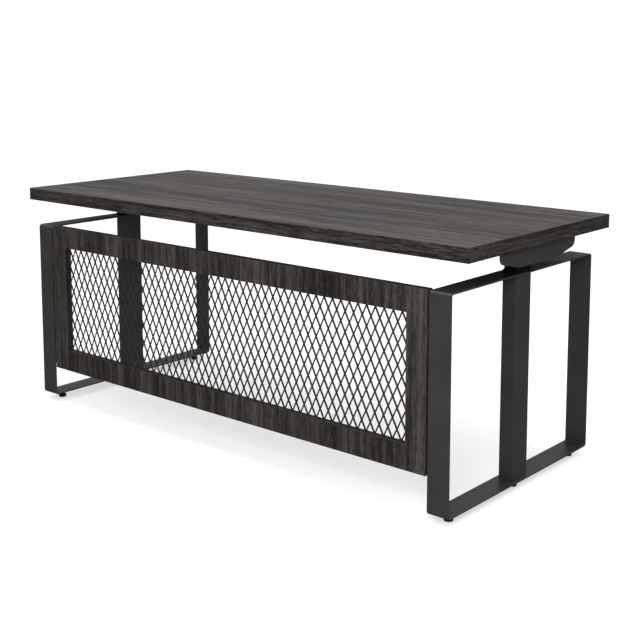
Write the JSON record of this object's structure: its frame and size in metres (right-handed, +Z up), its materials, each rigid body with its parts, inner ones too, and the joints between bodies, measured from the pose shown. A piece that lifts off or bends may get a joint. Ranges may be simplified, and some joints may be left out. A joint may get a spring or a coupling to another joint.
{
  "type": "height adjustable desk",
  "caption": "Height-adjustable desk with a thick woodgrain top on two lifting columns set in flat-bar loop legs, and a modesty panel with an expanded-metal infill.",
  "frame": {"origin": "on the floor under the centre of the desktop", "axes": "+X along the desktop to the right leg, -Y the visitor side with the modesty panel, +Y the user's side, +Z up"},
  "size_m": [1.829, 0.755, 0.749],
  "materials": {
    "top_laminate": "dark woodgrain laminate, satin",
    "edge_banding": "woodgrain edge band, satin",
    "panel_laminate": "dark woodgrain laminate, satin",
    "powder_coat": "matte charcoal powder coat",
    "black_steel": "matte black powder coat",
    "black_plastic": "matte",
    "nut_plastic": "natural",
    "bright_steel": "turned",
    "zinc": "zinc plated",
    "gear_case": "cast",
    "button_grey": "matte"
  },
  "bodies": {
    "base": {"loop_left": "powder_coat", "loop_right": "powder_coat", "column_tube_left": "powder_coat", "column_tube_right": "powder_coat", "push_tube_left": "bright_steel", "push_tube_right": "bright_steel", "lift_nut_left": "nut_plastic", "lift_nut_right": "nut_plastic", "slide_bush_left": "black_plastic", "slide_bush_right": "black_plastic", "column_screw_left_front": "zinc", "column_screw_left_back": "zinc", "column_screw_right_front": "zinc", "column_screw_right_back": "zinc", "modesty_panel": "panel_laminate", "mesh_strip_low": "panel_laminate", "mesh_strip_high": "panel_laminate", "mesh_strip_left": "panel_laminate", "mesh_strip_right": "panel_laminate", "mesh_infill": "black_steel", "panel_bracket_left": "black_steel", "panel_bracket_right": "black_steel", "panel_screw_left_low": "zinc", "panel_screw_left_high": "zinc", "panel_screw_right_low": "zinc", "panel_screw_right_high": "zinc"},
    "lifted_desk": {"desktop": "top_laminate", "edge_band_front": "edge_banding", "edge_band_back": "edge_banding", "edge_band_left": "edge_banding", "edge_band_right": "edge_banding", "lift_tube_left": "black_steel", "lift_tube_right": "black_steel", "side_bracket_left": "black_steel", "side_bracket_right": "black_steel", "cross_rail_front": "black_steel", "cross_rail_back": "black_steel", "gear_motor_left": "gear_case", "gear_motor_right": "gear_case", "control_box": "black_plastic", "handset": "black_plastic", "desktop_screw_left_front": "zinc", "desktop_screw_left_back": "zinc", "desktop_screw_right_front": "zinc", "desktop_screw_right_back": "zinc"},
    "screw_left": {"lead_screw_left": "bright_steel"},
    "screw_right": {"lead_screw_right": "bright_steel"},
    "up_key": {"button_up": "button_grey"},
    "down_key": {"button_down": "button_grey"},
    "pad_left_front": {"foot_left_front": "black_plastic"},
    "pad_left_middle": {"foot_left_middle": "black_plastic"},
    "pad_left_back": {"foot_left_back": "black_plastic"},
    "pad_right_front": {"foot_right_front": "black_plastic"},
    "pad_right_middle": {"foot_right_middle": "black_plastic"},
    "pad_right_back": {"foot_right_back": "black_plastic"}
  },
  "joints": [
    {"name": "lift", "type": "slide", "parent": "base", "child": "lifted_desk", "axis": [0, 0, 1], "range_m": [0, 0.45]},
    {"name": "lead_screw_turn_left", "type": "hinge", "parent": "lifted_desk", "child": "screw_left", "pos_m": [-0.83, -0.0042, 0.4], "axis": [0, 0, 1], "range_deg": [0, 16201]},
    {"name": "lead_screw_turn_right", "type": "hinge", "parent": "lifted_desk", "child": "screw_right", "pos_m": [0.83, -0.0042, 0.4], "axis": [0, 0, 1], "range_deg": [0, 16201]},
    {"name": "up_press", "type": "slide", "parent": "lifted_desk", "child": "up_key", "axis": [0, -1, 0], "range_m": [0, 0.001], "stiffness_N_per_m": 500, "springref_m": -0.002},
    {"name": "down_press", "type": "slide", "parent": "lifted_desk", "child": "down_key", "axis": [0, -1, 0], "range_m": [0, 0.001], "stiffness_N_per_m": 500, "springref_m": -0.002},
    {"name": "level_left_front", "type": "slide", "parent": "base", "child": "pad_left_front", "axis": [0, 0, -1], "range_m": [0, 0.008]},
    {"name": "level_left_middle", "type": "slide", "parent": "base", "child": "pad_left_middle", "axis": [0, 0, -1], "range_m": [0, 0.008]},
    {"name": "level_left_back", "type": "slide", "parent": "base", "child": "pad_left_back", "axis": [0, 0, -1], "range_m": [0, 0.008]},
    {"name": "level_right_front", "type": "slide", "parent": "base", "child": "pad_right_front", "axis": [0, 0, -1], "range_m": [0, 0.008]},
    {"name": "level_right_middle", "type": "slide", "parent": "base", "child": "pad_right_middle", "axis": [0, 0, -1], "range_m": [0, 0.008]},
    {"name": "level_right_back", "type": "slide", "parent": "base", "child": "pad_right_back", "axis": [0, 0, -1], "range_m": [0, 0.008]}
  ],
  "couplings": [
    {"joint": "lead_screw_turn_left", "follows": "lift", "rad_per_m": 628.32},
    {"joint": "lead_screw_turn_right", "follows": "lift", "rad_per_m": 628.32}
  ]
}
